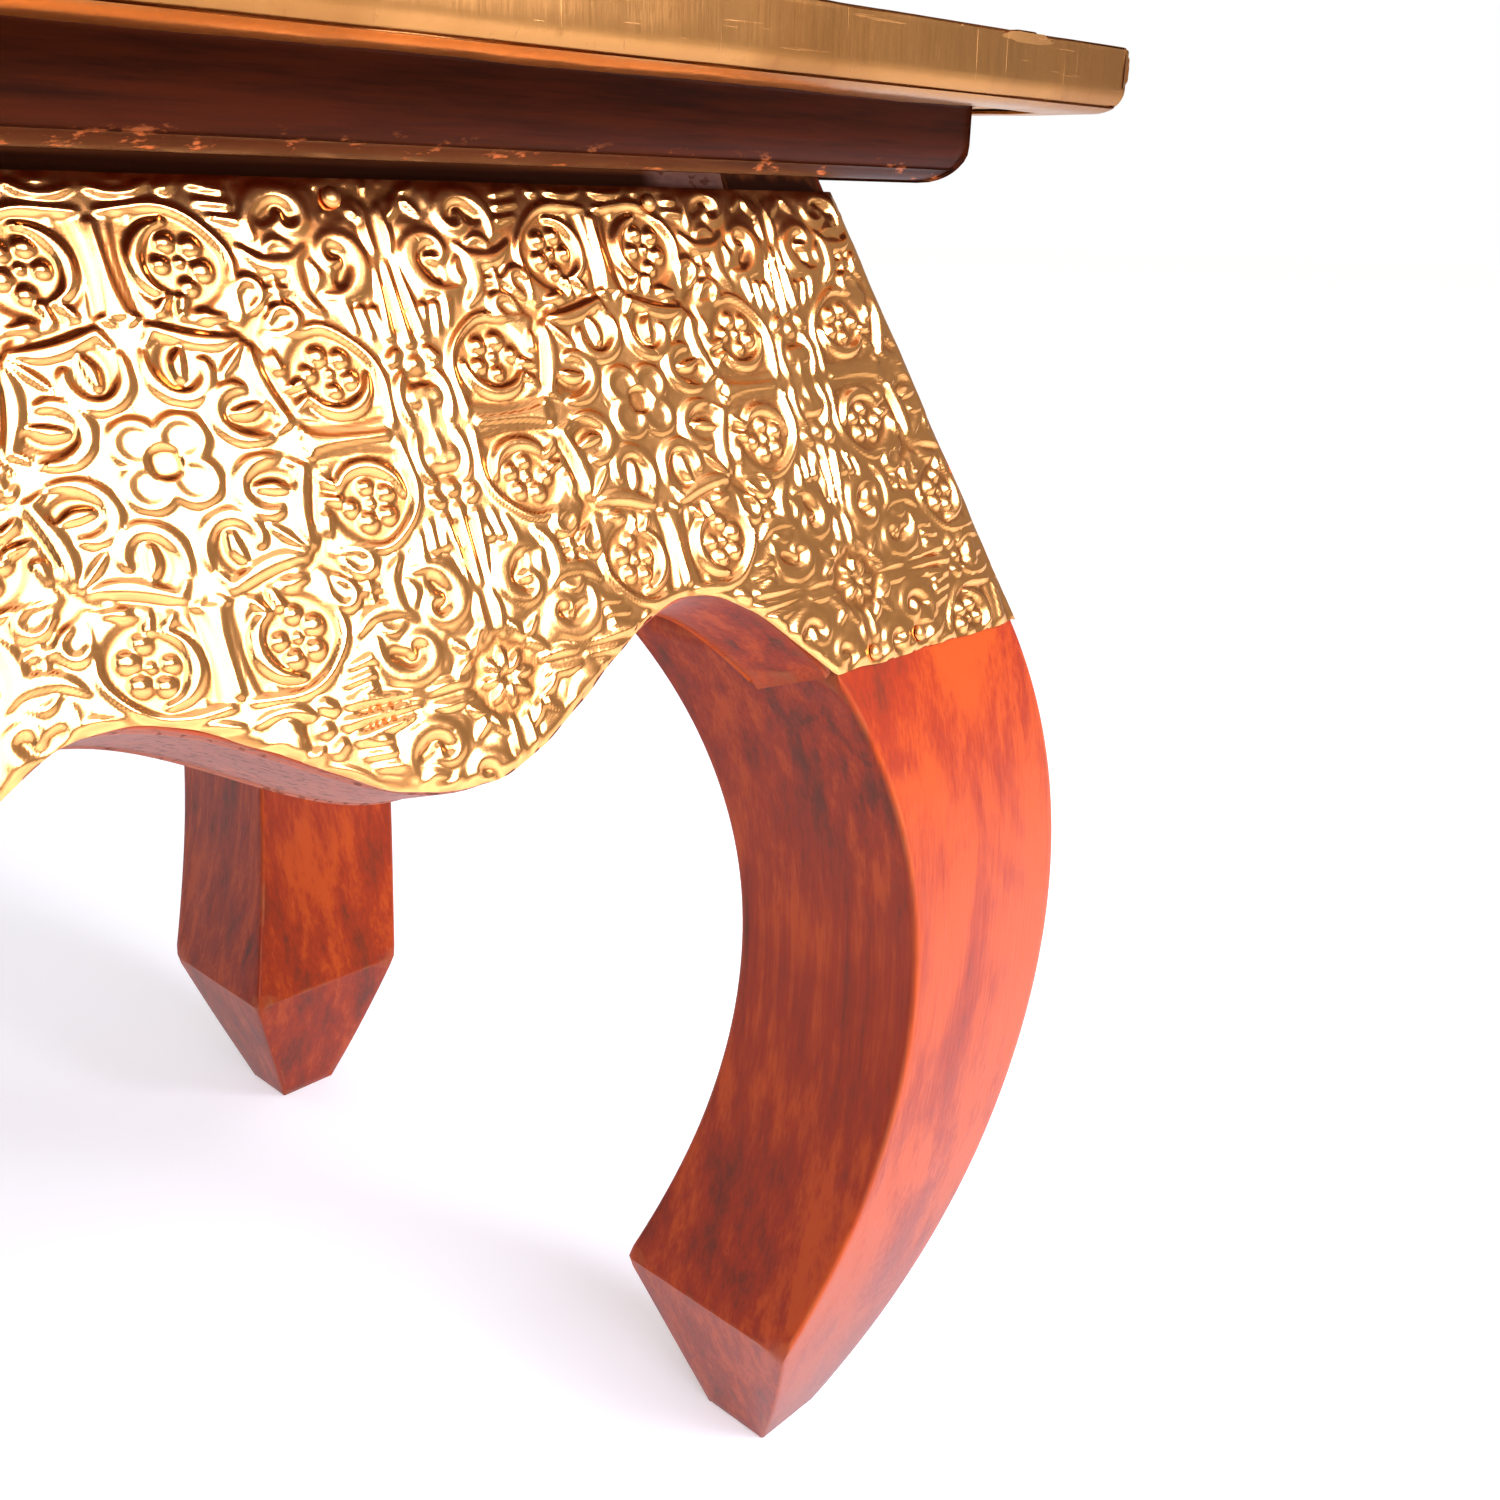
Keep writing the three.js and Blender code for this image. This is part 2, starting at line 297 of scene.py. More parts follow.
def stained_wood():
    """Orange-red stain over streaky wood, worn at its edges, rough where it was left sawn, with painted
    shade on the inward faces, under the frame and towards the floor.
    """
    finish = Finish("stained_wood", Coat_Roughness=0.25, Coat_IOR=1.4, Specular_Tint=(1, 0.35, 0.12, 1))
    at = finish.attribute("grain", "Vector")
    worn = finish.attribute("worn")
    dark = finish.attribute("dark")
    sawn = finish.attribute("sawn")
    cloud = finish.noise(finish.scaled(at, (22, 44, 44)), 1.0, 4, 0.55, 0.4)
    band = finish.noise(finish.scaled(at, (9, 230, 230)), 1.0, 3, 0.6)
    fibre = finish.noise(finish.scaled(at, (42, 1500, 1500)), 1.0, 3, 0.6)
    grime = finish.noise(finish.scaled(at, (30, 70, 70)), 1.0, 5, 0.7, 0.8)
    # The dark attribute holds painted shade on the inward faces and under the frame, mixed with uneven
    # stain: it deepens the streaks and the colour
    streaks = (band - 0.5) * (0.9 + dark * 3.0) + (fibre - 0.5) * 0.9
    stains = (cloud - 0.5) * (2.8 - dark * 2) + grime.between(0.56, 0.70) * (0.12 + dark * 0.4)
    depth = dark * 0.5 + stains + streaks
    pale = finish.mix(depth.between(-0.30, 0.30), rgba(colours().stain_light), rgba(colours().stain))
    body = finish.mix(depth.between(0.15, 1.05), pale, rgba(colours().stain_dark_and_shade))
    # Near black under the frame: painted shade with dark stain in it
    stain_and_shade_under = finish.mix(dark.between(0.93, 1.0), body, (0.022, 0.004, 0.002, 1))
    rubbed = (worn * (0.25 + band)).between(0.5, 1.2)
    edged = finish.mix(rubbed * 0.5, stain_and_shade_under, rgba(colours().worn))
    torn = finish.noise(finish.scaled(finish.place(), (500, 900, 900), (0.2, 0.1, 0.3)), 1.0, 3, 0.6)
    dusty = finish.mix(sawn * (0.35 + torn * 0.5), edged, (0.36, 0.17, 0.13, 1))
    split = finish.mix(sawn * torn.between(0.54, 0.62) * 0.75, dusty, rgba(colours().stain_dark_and_shade))
    # Painted shade on the outward faces towards the floor
    tone = finish.mix(finish.attribute("foot") * 0.6, split, rgba(colours().stain_dark_and_shade))
    height = band * 0.7 + fibre * 0.6 + cloud * 0.6 + sawn * torn * 1.5
    above_floor = finish.node("ShaderNodeSeparateXYZ", inputs={"Vector": finish.place()}, output="Z")
    sheen = 0.26 - above_floor.between(0.14, 0.20) * 0.20
    return finish.surface(Base_Color=tone, Roughness=0.38 + grime * 0.12 + fibre * 0.08,
                          Coat_Weight=sheen - rubbed * 0.06, Normal=finish.bump(height, 0.09 * MM))


def dark_wood():
    """Very dark stain, rubbed and chipped along the rounding; near black and flat underneath, a painted
    shade.
    """
    finish = Finish("dark_wood", Coat_Roughness=0.4, Coat_IOR=1.3, Specular_Tint=(1, 0.32, 0.12, 1),
                    Specular_IOR_Level=0.13)
    at = finish.attribute("grain", "Vector")
    worn = finish.attribute("worn")
    streak = finish.noise(finish.scaled(at, (30, 500, 500)), 1.0, 4, 0.6)
    broad = finish.noise(finish.scaled(at, (14, 90, 90)), 1.0, 3)
    body = finish.mix(streak.between(0.35, 0.75), rgba(colours().moulding), (0.012, 0.002, 0.001, 1))
    fleck = finish.noise(finish.scaled(finish.place(), (160, 160, 420)), 1.0, 4, 0.65)
    # Painted shade: the underside is made near black, rougher and without coat
    under = finish.attribute("dark")
    chipped = worn * fleck.between(0.57, 0.66)
    rubbed = worn * broad.between(0.3, 0.7)
    warmer = finish.mix(rubbed * 0.5, body, (0.10, 0.028, 0.010, 1))
    stain_and_shade_under = finish.mix(under, warmer, (0.006, 0.0015, 0.0006, 1))
    tone = finish.mix(chipped * 0.8, stain_and_shade_under, rgba(colours().worn))
    height = streak * 0.7 + broad
    return finish.surface(Base_Color=tone, Roughness=0.42 + broad * 0.15 + under * 0.4,
                          Coat_Weight=0.03 - under * 0.03,
                          Normal=finish.bump(height - chipped, 0.1 * MM))


def plain_wood():
    """Bare sawn wood, inside where it isn't seen."""
    finish = Finish("plain_wood")
    at = finish.place()
    streak = finish.noise(finish.scaled(at, (25, 330, 330)), 1.0, 4, 0.6)
    saw = finish.noise(finish.scaled(at, (900, 40, 40)), 1.0, 2)
    tone = finish.mix(streak.between(0.35, 0.7) * 0.7, rgba(colours().deal), (0.24, 0.12, 0.05, 1))
    return finish.surface(Base_Color=tone, Roughness=0.72 + streak * 0.12,
                          Normal=finish.bump(streak + saw * 0.5, 0.2 * MM))


def screw_steel():
    """Dull steel, browned in patches."""
    finish = Finish("screw_steel", Metallic=1.0)
    at = finish.place()
    cloud = finish.noise(at, 420, 3)
    tone = finish.mix(cloud.between(0.45, 0.7), (0.46, 0.45, 0.43, 1), (0.20, 0.15, 0.11, 1))
    return finish.surface(Base_Color=tone, Roughness=0.35 + cloud * 0.2,
                          Normal=finish.bump(cloud, 0.05 * MM))


FINISHES = {
    "embossed_brass": embossed_brass,
    "polished_brass": polished_brass,
    "brass_pin": pin_brass,
    "stained_wood": stained_wood,
    "dark_wood": dark_wood,
    "plain_wood": plain_wood,
    "steel_screw": screw_steel,
}
made_finishes = {}


def finish_of(slot):
    """The material of a slot, made the first time it is asked for."""
    if slot not in made_finishes:
        made_finishes[slot] = FINISHES[slot]()
    return made_finishes[slot]


# ---------------------------------------------------------------- mesh helpers

def lattice(across, along, up):
    """A closed unit block whose faces are cut at the given places along x, y and z."""
    bm = bmesh.new()
    bmesh.ops.create_cube(bm, size=1, matrix=Matrix.Translation((0.5, 0.5, 0.5)))
    for axis, places in enumerate((across, along, up)):
        cuts = len(places) - 2
        if cuts > 0:
            edges = [e for e in bm.edges if abs(e.verts[0].co[axis] - e.verts[1].co[axis]) > 0.5]
            bmesh.ops.subdivide_edges(bm, edges=edges, cuts=cuts, use_grid_fill=True)
        even = np.linspace(0, 1, len(places))
        for vert in bm.verts:
            vert.co[axis] = np.interp(vert.co[axis], even, places)
    return bm


def soften(bm, width, segments=2, least=40, wanted=None):
    """Rounds the edges that turn by more than least degrees, among those wanted."""
    edges = [e for e in bm.edges
             if e.calc_face_angle(0) > math.radians(least) and (wanted is None or wanted(e))]
    bmesh.ops.bevel(bm, geom=edges, offset=width, segments=segments, profile=0.5,
                    affect="EDGES", material=-1)


def mark_grain(bm, order, shift):
    """Stores each point's place with the grain first, for the wood's pattern to follow."""
    layer = bm.verts.layers.float_vector.new("grain")
    for vert in bm.verts:
        vert[layer] = Vector([vert.co[axis] for axis in order]) + shift


def mark_worn(bm, least=8):
    """Marks the points where the surface turns by more than least degrees."""
    layer = bm.verts.layers.float.new("worn")
    limit = math.radians(least)
    for vert in bm.verts:
        sharpest = max((e.calc_face_angle(0) for e in vert.link_edges), default=0)
        vert[layer] = 1.0 if sharpest > limit else 0.0


def mark(bm, name, amount):
    """Stores a value from 0 to 1 at each point, as amount works it out from its place."""
    layer = bm.verts.layers.float.new(name)
    for vert in bm.verts:
        vert[layer] = min(1.0, max(0.0, amount(vert)))


def add_piece(name, bm, slot, nodes, turns=0, smooth=35):
    """Turns a mesh round to its side, dresses it, and hides the solids it stands for."""
    bm.transform(Matrix.Rotation(turns * math.pi / 2, 4, "Z"))
    mesh = bpy.data.meshes.new(name)
    bm.to_mesh(mesh)
    bm.free()
    mesh.shade_smooth()
    mesh.set_sharp_from_angle(angle=math.radians(smooth))
    mesh.materials.append(finish_of(slot))
    piece = bpy.data.objects.new(name, mesh)
    bpy.context.scene.collection.objects.link(piece)
    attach(piece, "root")
    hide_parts(*nodes)
    return piece


def curve_x(points, heights):
    """The x of a four-point curve, in mm, at the given heights in metres."""
    t = np.linspace(0, 1, 200)[:, None]
    p = np.array(points, float) * MM
    path = ((1 - t) ** 3 * p[0] + 3 * (1 - t) ** 2 * t * p[1]
            + 3 * (1 - t) * t ** 2 * p[2] + t ** 3 * p[3])
    return np.interp(heights, path[:, 1], path[:, 0])


def leg_outer(height):
    """How far out the leg's outer side lies: straight with the leaning face, curved below the knee."""
    straight = FACE_TOP + (RAIL_LOW - height) * TAN
    knee = LEG_OUTER_CURVE[-1][1] * MM
    return np.where(height > knee, straight, curve_x(LEG_OUTER_CURVE, height))


def leg_inner(height):
    """How far out the leg's inner side lies: cut back below the heel, upright above the arch."""
    heel = LEG_INNER_CURVE[0][0] * MM
    foot = SOLE_INNER + (heel - SOLE_INNER) * height / HEEL_HEIGHT
    curved = curve_x(LEG_INNER_CURVE, height)
    return np.where(height < HEEL_HEIGHT, foot, np.where(height > ARCH_END, LEG_INNER, curved))


def arch_down(x):
    """How far down the leaning face its lower edge lies, at x along the side."""
    x = np.abs(x)
    middle = (ARCH_MIDDLE + ARCH_CROWN) / 2 - (ARCH_CROWN - ARCH_MIDDLE) / 2 * np.cos(
        math.pi * np.minimum(x / CROWN_X, 1))
    outer = ARCH_CROWN - (ARCH_CROWN - ARCH_END) * (1 - np.cos(
        math.pi / 2 * np.clip((x - CROWN_X) / (LEG_INNER - CROWN_X), 0, 1)))
    height = np.where(x < CROWN_X, middle, outer)
    return (RAIL_LOW - np.where(x > LEG_INNER, ARCH_END, height)) / COS


def on_face(x, down, out):
    """A place on the front's leaning face: along it, down it and out of it."""
    return (x, -(FACE_TOP + down * SIN + out * COS), RAIL_LOW - down * COS + out * SIN)


def wobble(x, y, size, seed):
    """A smooth, repeatable unevenness between about -1 and 1."""
    total = np.zeros_like(x)
    for step in range(6):
        angle = 2.4 * (seed + step) + 0.7 * seed
        stretch = 6.283 / (size * (0.7 + 0.23 * step))
        along = x * math.cos(angle) + y * math.sin(angle)
        total += np.sin(along * stretch + 1.7 * seed * (step + 1))
    return total / 3.2


# ---------------------------------------------------------------- embossed pattern

# The pattern is drawn in mm on one eighth of a square panel, and repeated in its mirror images. A
# place is (towards the panel's side, away from its middle line), and a stroke's points add its half
# width. The flower of the border is centred on the panel's corner.
HALF_PANEL = 41
TALL, LEAN_OVER, CLIMB = 0.915, 0.05, -0.017
RIDGES = (
    # hook round a seed
    ((15.2, 1.5, 0.5), (13.0, 1.2, 1.0), (10.6, 1.8, 1.3), (8.6, 3.9, 1.35), (8.2, 6.4, 1.35),
     (9.6, 8.5, 1.3), (11.8, 9.4, 1.2), (13.2, 9.0, 0.8)),
    ((11.0, 5.4, 0.8), (13.2, 5.6, 1.4), (15.4, 6.5, 0.5)),
    # spear on the diagonal
    ((10.9, 10.9, 0.5), (13.0, 13.0, 0.95), (15.4, 15.4, 0.6)),
    # ridge along the edge of the field, with a horn at its end
    ((16.0, 15.0, 0.4), (15.7, 12.6, 1.2), (15.9, 9.6, 1.4), (16.9, 6.4, 1.2), (18.3, 3.4, 0.9)),
    ((18.2, 3.6, 0.9), (16.2, 2.2, 0.5)),
    ((18.8, 0.7, 0.3), (19.8, 1.9, 0.8)),
    # crescent over the flower
    ((22.4, 7.6, 0.5), (23.6, 5.3, 1.0), (26.2, 4.2, 1.25), (29.2, 4.4, 1.3), (31.8, 6.4, 1.2),
     (32.8, 9.4, 0.6)),
    # leaves at the cartouche's point
    ((20.2, 5.2, 0.5), (22.0, 6.6, 0.9)),
    ((19.7, 8.3, 0.5), (22.0, 9.0, 1.0)),
    ((19.0, 13.6, 0.6), (19.4, 11.4, 1.1)),
    # rim of the cartouche
    ((19.6, 16.4, 0.3), (24.0, 16.6, 0.6), (27.4, 17.4, 0.75), (30.6, 15.6, 0.8), (33.9, 12.4, 0.8),
     (35.2, 8.6, 0.9), (34.8, 4.6, 0.9), (34.4, 1.4, 0.6)),
    # finger leaves
    ((37.6, 15.2, 0.5), (36.9, 18.6, 1.1)),
    ((35.4, 14.9, 0.5), (34.9, 18.9, 1.1)),
    ((33.2, 16.2, 0.5), (32.6, 19.6, 1.1)),
    # crescent beyond the corner flower
    ((28.6, 28.6, 0.4), (26.6, 26.6, 1.2), (25.9, 24.0, 1.5), (26.7, 21.0, 1.3), (28.8, 18.9, 0.5)),
    # curl at the corner of the field
    ((20.0, 18.3, 0.5), (21.6, 20.3, 0.9), (23.8, 20.2, 1.1), (24.6, 18.2, 1.0), (23.2, 16.8, 0.9)),
    # scroll, wound up at its end
    ((30.0, 21.4, 0.5), (33.2, 21.0, 1.2), (36.2, 22.8, 1.5), (37.3, 26.2, 1.5), (36.0, 29.4, 1.4),
     (32.9, 30.3, 1.2), (30.9, 28.3, 1.0), (31.6, 26.0, 0.9), (33.6, 26.4, 0.8)),
    ((28.6, 22.6, 0.5), (30.0, 24.4, 1.0), (28.9, 26.4, 0.5)),
    ((33.4, 33.4, 0.5), (35.2, 35.2, 0.9)),
    # spears of the border
    ((41.0, 25.8, 0.3), (41.0, 20.0, 0.7), (41.0, 13.6, 1.15)),
    ((39.2, 25.2, 0.3), (38.8, 20.0, 0.9), (38.2, 14.8, 1.1)),
    ((39.8, 34.4, 0.4), (39.2, 30.0, 1.1), (39.8, 27.4, 0.5)),
    # knot of the border
    ((37.4, 10.9, 1.2), (38.2, 11.9, 1.1)),
    ((37.6, 1.0, 0.6), (36.7, 3.6, 1.0), (36.9, 6.8, 1.1), (38.2, 8.7, 0.8)),
    # scallops round the border's flower
    ((38.7, 32.6, 0.5), (37.2, 34.0, 1.0), (36.6, 35.8, 0.6)),
    ((34.6, 38.0, 0.5), (33.7, 39.6, 0.9), (33.4, 41.0, 0.9)),
)
# Each bead is (x, y, radius): six in the cartouche's flower, one in the knot, one on the diagonal
BEADS = ((25.8, 12.8, 1.75), (29.2, 12.2, 1.65), (29.9, 8.9, 1.6), (26.9, 7.5, 1.4),
         (23.6, 10.4, 1.5), (27.0, 10.2, 0.9), (41.0, 10.2, 1.4), (22.7, 22.7, 0.9))
HOLLOWS = (
    # under the hook's seed, along the trumpet, at the field's corner, between the scroll's turns
    ((10.6, 4.6, 1.4), (13.6, 5.0, 2.6), (16.0, 5.4, 1.0)),
    ((20.4, 3.0, 0.5), (24.0, 2.6, 0.6), (29.0, 2.5, 0.7), (32.6, 3.6, 1.3)),
    ((15.2, 15.2, 0.8), (17.2, 17.2, 1.7), (19.6, 19.6, 0.9)),
    ((16.6, 16.9, 1.2), (18.4, 13.6, 0.5)),
    ((17.5, 11.4, 0.7), (18.2, 8.6, 0.8), (19.4, 5.2, 0.6)),
    ((33.0, 23.6, 1.0), (34.6, 26.4, 1.4), (33.0, 28.2, 0.9)),
    ((39.9, 24.6, 0.3), (39.6, 16.0, 0.9)),
    ((41.0, 7.4, 1.0), (39.4, 8.0, 0.9)),
)


def eased(points, rounds=2):
    """Cuts the corners of a stroke until it runs as a curve."""
    path = np.array(points, float)
    for _ in range(rounds if len(points) > 2 else 0):
        near = path[:-1] * 0.75 + path[1:] * 0.25
        far = path[:-1] * 0.25 + path[1:] * 0.75
        inner = np.stack([near, far], 1).reshape(-1, path.shape[1])
        path = np.concatenate([path[:1], inner[1:-1], path[-1:]])
    return path


def stroke_distance(p, q, points):
    """Distance to the outline of a stroke, negative inside it."""
    nearest = np.full(p.shape, 9.0)
    for (x0, y0, r0), (x1, y1, r1) in zip(points[:-1], points[1:]):
        dx, dy = x1 - x0, y1 - y0
        t = np.clip(((p - x0) * dx + (q - y0) * dy) / max(dx * dx + dy * dy, 1e-9), 0, 1)
        off = np.hypot(p - x0 - t * dx, q - y0 - t * dy)
        nearest = np.minimum(nearest, off - (r0 + (r1 - r0) * t))
    return nearest


def disc(p, q, x, y, radius):
    """Distance to the outline of a disc, negative inside it."""
    return np.hypot(p - x, q - y) - radius


def rise(distance, width, outer=0.25):
    """Height from 0 just outside an outline to 1 at width inside it."""
    t = np.clip((outer - distance) / (width + outer), 0, 1)
    return t * t * (3 - 2 * t)


def panel_height(p, q):
    """Relief of a panel: 1 on its ridges, 0 on its face, below 0 in its sunk grounds."""
    turn = np.arctan2(HALF_PANEL - q, HALF_PANEL - p)
    away = np.hypot(HALF_PANEL - p, HALF_PANEL - q)
    # sunk grounds: the cartouche, the border's flower, the field's corner flower, and the hollows
    point = stroke_distance(p, q, ((20.2, 7.6, 1.4), (26, 9.4, 5.0)))
    sunk = rise(np.minimum(disc(p, q, 27.3, 9.4, 7.4), point), 1.2)
    sunk = np.maximum(sunk, rise(away - 6.9 - 0.6 * np.cos(8 * turn), 1.0))
    sunk = np.maximum(sunk, 0.8 * rise(disc(p, q, 22.7, 22.7, 3.3), 1.0))
    for points in HOLLOWS:
        sunk = np.maximum(sunk, rise(stroke_distance(p, q, eased(points)), 0.7))
    # low swelling of the scroll's ground, lobed along its edge
    around = np.arctan2(q - 26.4, p - 32.6)
    swell = rise(disc(p, q, 32.6, 26.4, 7.0) - 0.7 * np.cos(7 * around), 1.3)
    ground = 0.35 * swell * (1 - sunk) - 0.6 * sunk
    # quatrefoil with dished lobes
    body = np.minimum(disc(p, q, 3.0, 3.0, 4.0), disc(p, q, 0, 0, 4.6))
    raised = 0.9 * rise(body, 1.0) - 0.5 * rise(disc(p, q, 2.95, 2.95, 2.5), 1.0)
    # tulip of the knot, trumpet on the middle line
    stem = stroke_distance(p, q, ((41, 5.4, 1.9), (41, 1.0, 0.4)))
    raised = np.maximum(raised, 0.9 * rise(np.minimum(disc(p, q, 39.4, 5.0, 1.9), stem), 1.1))
    flare = np.clip((34.5 - p) / 16, 0, 1) ** 4
    trumpet = np.maximum(q - 0.85 - 1.7 * flare, np.maximum(p - 33.6, 19.6 - p))
    raised = np.maximum(raised, 0.85 * rise(trumpet, 0.8))
    # eight-petalled flower of the border
    aside = np.abs((turn / (math.pi / 4) + 0.5) % 1 - 0.5) * away * (math.pi / 4)
    fat = 0.95 * np.sin(np.clip((away - 0.6) / 4.2, 0, 1) * math.pi) ** 0.8
    raised = np.maximum(raised, 0.75 * rise(np.maximum(aside - fat, away - 4.8), 0.5, 0.1))
    # four-pointed flower at the field's corner
    star = disc(p, q, 22.7, 22.7, 1.9) + 0.7 * np.cos(4 * np.arctan2(q - 22.7, p - 22.7) + math.pi)
    raised = np.maximum(raised, 0.6 * rise(star, 0.9))
    for points in RIDGES:
        raised = np.maximum(raised, rise(stroke_distance(p, q, eased(points)), 0.8))
    for x, y, radius in BEADS:
        raised = np.maximum(raised, 0.9 * rise(disc(p, q, x, y, radius), 1.1))
    eye = rise(disc(p, q, 0, 0, 2.5), 0.8)
    return np.maximum(ground + (1 - ground) * raised - 1.5 * eye, -0.6)


def sheet_relief(x, down, middle, seed):
    """Relief over a whole sheet: panels in rows, less tall than wide, leaning and a little askew."""
    unit = sizes().panel / (2 * HALF_PANEL)
    across = x - middle[0] + wobble(x, down, 60 * MM, seed) * 0.35 * MM
    below = down - middle[1] + wobble(x, down, 45 * MM, seed + 3) * 0.35 * MM
    whole = (TALL - LEAN_OVER * CLIMB) * unit
    p = (across * TALL - below * LEAN_OVER) / whole
    q = (below - CLIMB * across) / whole
    p = np.abs((p + HALF_PANEL) % (2 * HALF_PANEL) - HALF_PANEL)
    q = np.abs((q + HALF_PANEL) % (2 * HALF_PANEL) - HALF_PANEL)
    return panel_height(np.maximum(p, q), np.minimum(p, q))


# ---------------------------------------------------------------- pieces

# Roundings of the top's lower and upper edges, and where its folded lip ends underneath
TOP_LOWER_ROUND = 4.4 * MM
TOP_UPPER_ROUND = 1.0 * MM
LIP_END = 136 * MM
BRASS_WALL = 0.55 * MM
RAIL_ROUND = 6.4 * MM
MITRE_GAP = 0.1 * MM
# A panel's middle on each side's sheet, along it and down it, in mm
PANEL_MIDDLES = {"front": (48.5, 38.0), "right": (-12.0, 36.5), "back": (31.0, 39.5), "left": (4.0, 37.0)}
# The relief dies away over this width along a sheet's edges, and over this width round a pin
EDGE_CALM = 1.4 * MM
PIN_CALM = 1.6 * MM
# The sheet is pressed down over this width, this much at the table's corners and along its foot
PRESS_WIDTH = 1.3 * MM
CORNER_PRESS = 0.28 * MM
FOOT_PRESS = 0.10 * MM


class TABLE_OT_brass_sheets(bpy.types.Operator):
    """Embossed brass sheets on the four leaning sides"""
    bl_idname = "table.brass_sheets"
    bl_label = "Embossed brass sheets"

    def execute(self, context):
        for turns, side in enumerate(SIDES):
            bm = self.sheet([place * MM for place in PANEL_MIDDLES[side]], turns + 1)
            add_piece(f"embossed_sheet_{side}", bm, "embossed_brass", [f"brass_sheet_{side}"], turns, 60)
        return {"FINISHED"}

    def sheet(self, middle, seed):
        """A fine grid bent into the sheet's front, then closed by a rim and a flat back."""
        spacing = sizes().grid
        low = (RAIL_LOW - SHEET_FOOT) / COS
        half = FACE_TOP + low * SIN
        bm = bmesh.new()
        bmesh.ops.create_grid(bm, x_segments=round(2 * half / spacing),
                              y_segments=round((low - SHEET_TOP) / spacing), size=1)
        across, depth = np.array([vert.co[:2] for vert in bm.verts]).T
        depth = (1 - depth) / 2
        foot_x = across * half
        uneven = (0.3 + 0.3 * wobble(foot_x, foot_x * 0, 14 * MM, seed)) * MM
        foot = np.minimum(arch_down(foot_x), low) - uneven
        down = SHEET_TOP + (foot - SHEET_TOP) * depth
        x = across * (FACE_TOP + down * SIN)
        to_corner = (1 - np.abs(across)) * FACE_TOP
        calm = self.calm(x, down, foot, to_corner)
        relief = sheet_relief(x, down, middle, seed)
        strength = 1 + 0.12 * wobble(x, down, 38 * MM, seed + 5)
        waves = (0.10 * wobble(x, down, 26 * MM, seed + 7) + 0.025 * wobble(x, down, 9 * MM, seed + 9)) * MM
        at_corner = np.clip(1 - to_corner / PRESS_WIDTH, 0, 1) ** 2
        at_foot = np.clip(1 - (foot - down) / PRESS_WIDTH, 0, 1) ** 2
        pressed = np.maximum(CORNER_PRESS * at_corner, FOOT_PRESS * at_foot)
        out = SHEET_FRONT + 0.2 * MM * calm - pressed + relief * calm * strength * sizes().relief + waves
        places = np.stack(on_face(across * (FACE_TOP + down * SIN + out * COS), down, out), 1)
        layer = bm.verts.layers.float.new("relief")
        for vert, place, level in zip(bm.verts, places, relief * calm + 0.55 * (1 - calm)):
            vert.co = place
            vert[layer] = level
        self.close(bm)
        return bm

    def calm(self, x, down, foot, to_corner):
        """0 where the sheet lies flat, along its edges and under its pins, and 1 elsewhere."""
        to_edge = np.minimum(np.minimum(foot - down, down - SHEET_TOP), to_corner / 2)
        calm = np.clip(to_edge / EDGE_CALM, 0, 1)
        for pin_x, pin_down in PINS:
            away = np.hypot(x - pin_x * MM, down - pin_down * MM)
            calm = np.minimum(calm, np.clip((away - PIN_CALM) / PIN_CALM, 0, 1))
        return calm

    def close(self, bm):
        """Draws the edge straight back to the sheet's back and fills the back."""
        normal = Vector((0, -COS, SIN))
        base = Vector(on_face(0, 0, SHEET_BACK)).dot(normal)
        rim = bmesh.ops.extrude_edge_only(bm, edges=[e for e in bm.edges if e.is_boundary])["geom"]
        for vert in rim:
            if isinstance(vert, bmesh.types.BMVert):
                vert.co -= normal * (vert.co.dot(normal) - base)
        bmesh.ops.contextual_create(bm, geom=[e for e in bm.edges if e.is_boundary])
        bmesh.ops.recalc_face_normals(bm, faces=bm.faces)


